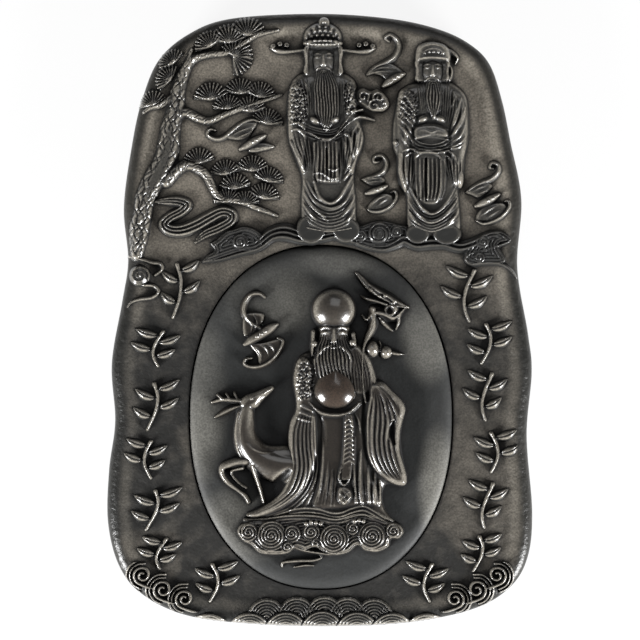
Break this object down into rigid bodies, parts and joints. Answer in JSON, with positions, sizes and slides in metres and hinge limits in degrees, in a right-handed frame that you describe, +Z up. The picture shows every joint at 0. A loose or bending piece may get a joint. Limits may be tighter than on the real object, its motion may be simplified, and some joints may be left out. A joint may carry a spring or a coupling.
{
  "type": "ink stone",
  "caption": "Carved stone slab with a rounded wavy outline and relief figures, and a lift-off oval lid over the ink well.",
  "frame": {"origin": "on the table, under the middle of the slab's bounding box", "axes": "+Z up, out of the carved face; +Y along the slab's length, towards the pine and the standing figures; +X across it"},
  "size_m": [0.177, 0.255, 0.0367],
  "materials": {
    "slab_stone": "waxed",
    "slab_carving": "waxed",
    "lid_stone": "waxed",
    "lid_carving": "waxed"
  },
  "bodies": {
    "stone": {"slab": "slab_stone", "pine_trunk": "slab_carving", "pine_tufts": "slab_carving", "hat_figure": "slab_carving", "cap_figure": "slab_carving", "cloud_bank": "slab_carving", "mist_ribbon": "slab_carving", "edge_clouds": "slab_carving", "slab_bats": "slab_carving", "border_sprigs": "slab_carving", "sea_waves": "slab_carving", "wave_crests": "slab_carving"},
    "lid": {"lid": "lid_stone", "elder_figure": "lid_carving", "peach": "lid_carving", "staff": "lid_carving", "deer": "lid_carving", "lid_bat": "lid_carving", "lid_clouds": "lid_carving"}
  },
  "joints": [
    {"name": "lid_lift", "type": "slide", "parent": "stone", "child": "lid", "axis": [0, 0, 1], "range_m": [0, 0.04]}
  ]
}
